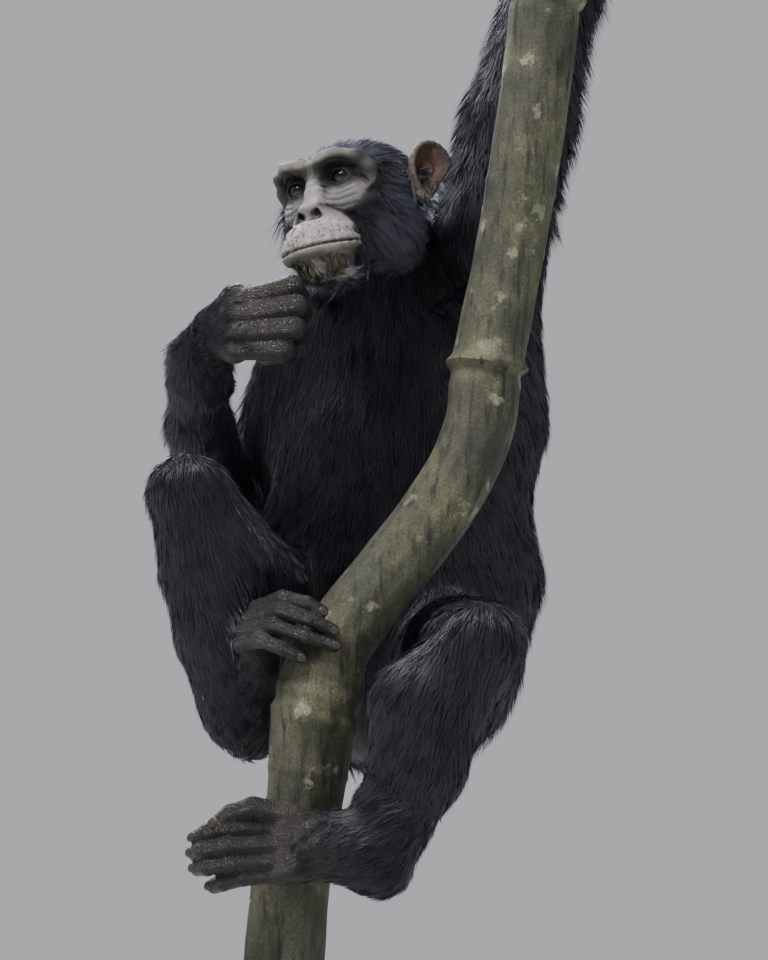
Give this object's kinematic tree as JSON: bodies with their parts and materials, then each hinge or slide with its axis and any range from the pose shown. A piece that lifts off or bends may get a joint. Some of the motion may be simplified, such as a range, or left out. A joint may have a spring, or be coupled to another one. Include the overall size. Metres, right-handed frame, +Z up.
{
  "type": "chimpanzee",
  "caption": "Life-size seated chimpanzee that grips a bent stem with a raised hand and both feet, fist under the chin, on a flat stand.",
  "frame": {"origin": "centre of the stand base's underside, on the floor", "axes": "+Z up along the body's height, the body's front to -Y, the animal's left side to +X"},
  "size_m": [0.66, 0.5816, 1.5987],
  "materials": {
    "coat": "black hair with a grey-blue sheen, over dark skin",
    "face_skin": "bare wrinkled skin, grey-brown on the muzzle and dark round the eyes",
    "ear_skin": "thin bare skin, pinkish brown",
    "hand_skin": "bare dark wrinkled skin with flat dark nails",
    "eye": "wet dark brown",
    "bark": "grey-olive bark with pale lichen spots and ring scars",
    "stand_board": "painted board, satin",
    "stand_metal": "dark satin steel rod"
  },
  "bodies": {
    "root": {"torso": "coat", "neck": "coat", "head": "face_skin", "ear_left": "ear_skin", "ear_right": "ear_skin", "eye_left": "eye", "eye_right": "eye", "upper_arm_left": "coat", "upper_arm_right": "coat", "forearm_left": "coat", "forearm_right": "coat", "hand_left": "hand_skin", "hand_right": "hand_skin", "thigh_left": "coat", "thigh_right": "coat", "shin_left": "coat", "shin_right": "coat", "foot_left": "hand_skin", "foot_right": "hand_skin", "perch_stem": "bark", "stand_base": "stand_board", "stand_rod": "stand_metal"}
  },
  "joints": []
}
